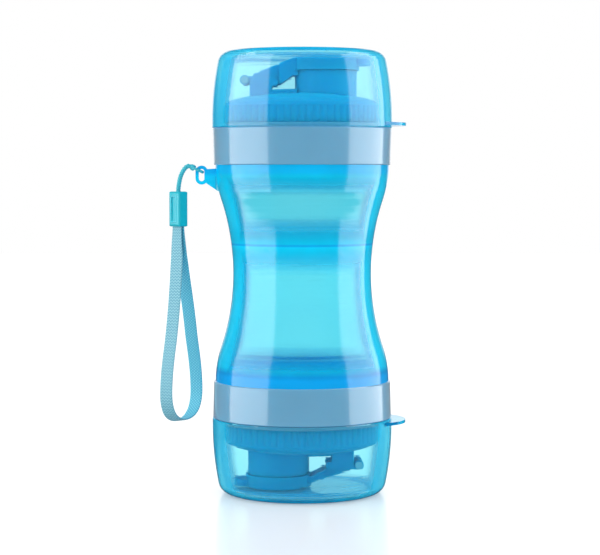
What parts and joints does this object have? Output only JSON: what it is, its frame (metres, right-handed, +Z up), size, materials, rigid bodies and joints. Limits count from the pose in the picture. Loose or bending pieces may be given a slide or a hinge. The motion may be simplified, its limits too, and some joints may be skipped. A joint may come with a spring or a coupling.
{
  "type": "pet travel bottle",
  "caption": "Hourglass travel bottle for dogs with a water chamber above a food chamber, flip spouts under clear cups at both ends, pastel collar rings and a wrist strap.",
  "frame": {"origin": "centre of the lower cup's flat base, where the bottle stands", "axes": "+Z up along the bottle's axis, +X towards the cups' thumb tabs, the wrist strap on -X, the front of the bottle faces -Y"},
  "size_m": [0.1245, 0.0912, 0.224],
  "materials": {
    "cup_plastic": "clear tinted, polished",
    "body_plastic": "clear tinted, polished",
    "ring_plastic": "pastel, polished",
    "cap_plastic": "moulded, satin gloss",
    "seal_silicone": "matt silicone",
    "hinge_steel": "drawn wire",
    "clamp_plastic": "moulded, satin gloss",
    "strap_fabric": "woven polyester"
  },
  "bodies": {
    "lower_cup": {"lower_cup": "cup_plastic"},
    "bottle": {"lower_chamber": "body_plastic", "upper_chamber": "body_plastic", "lower_ring": "ring_plastic", "upper_ring": "ring_plastic", "strap_loop": "strap_fabric"},
    "lower_cap": {"lower_cap": "cap_plastic", "lower_gasket": "seal_silicone", "lower_hinge_pin": "hinge_steel"},
    "lower_lid": {"lower_lid": "cap_plastic", "lower_lid_seal": "seal_silicone"},
    "upper_cap": {"upper_cap": "cap_plastic", "upper_gasket": "seal_silicone", "upper_hinge_pin": "hinge_steel"},
    "upper_lid": {"upper_lid": "cap_plastic", "upper_lid_seal": "seal_silicone"},
    "upper_cup": {"upper_cup": "cup_plastic"},
    "strap": {"strap_knot": "strap_fabric", "strap_cord": "strap_fabric", "strap_clamp_front": "clamp_plastic", "strap_clamp_back": "clamp_plastic", "strap_webbing": "strap_fabric"}
  },
  "joints": [
    {"name": "bottle_lift", "type": "slide", "parent": "lower_cup", "child": "bottle", "axis": [0, 0, 1], "range_m": [0, 0.14]},
    {"name": "upper_cup_lift", "type": "slide", "parent": "bottle", "child": "upper_cup", "axis": [0, 0, 1], "range_m": [0, 0.14]},
    {"name": "upper_cap_turn", "type": "hinge", "parent": "bottle", "child": "upper_cap", "pos_m": [0, 0, 0.18], "axis": [0, 0, 1], "range_deg": [0, 180]},
    {"name": "lower_cap_turn", "type": "hinge", "parent": "bottle", "child": "lower_cap", "pos_m": [0, 0, 0.044], "axis": [0, 0, -1], "range_deg": [0, 180]},
    {"name": "upper_lid_hinge", "type": "hinge", "parent": "upper_cap", "child": "upper_lid", "pos_m": [-0.0287, 0, 0.2092], "axis": [0, -1, 0], "range_deg": [0, 110]},
    {"name": "lower_lid_hinge", "type": "hinge", "parent": "lower_cap", "child": "lower_lid", "pos_m": [0.0287, 0, 0.0148], "axis": [0, -1, 0], "range_deg": [0, 110]},
    {"name": "strap_swing", "type": "hinge", "parent": "bottle", "child": "strap", "pos_m": [-0.05543, 0, 0.16541], "axis": [0, 1, 0], "range_deg": [0, 60]}
  ],
  "couplings": [
    {"joint": "upper_lid_hinge", "follows": "upper_cup_lift", "rad_per_m": 13.713},
    {"joint": "lower_lid_hinge", "follows": "bottle_lift", "rad_per_m": 13.713}
  ]
}
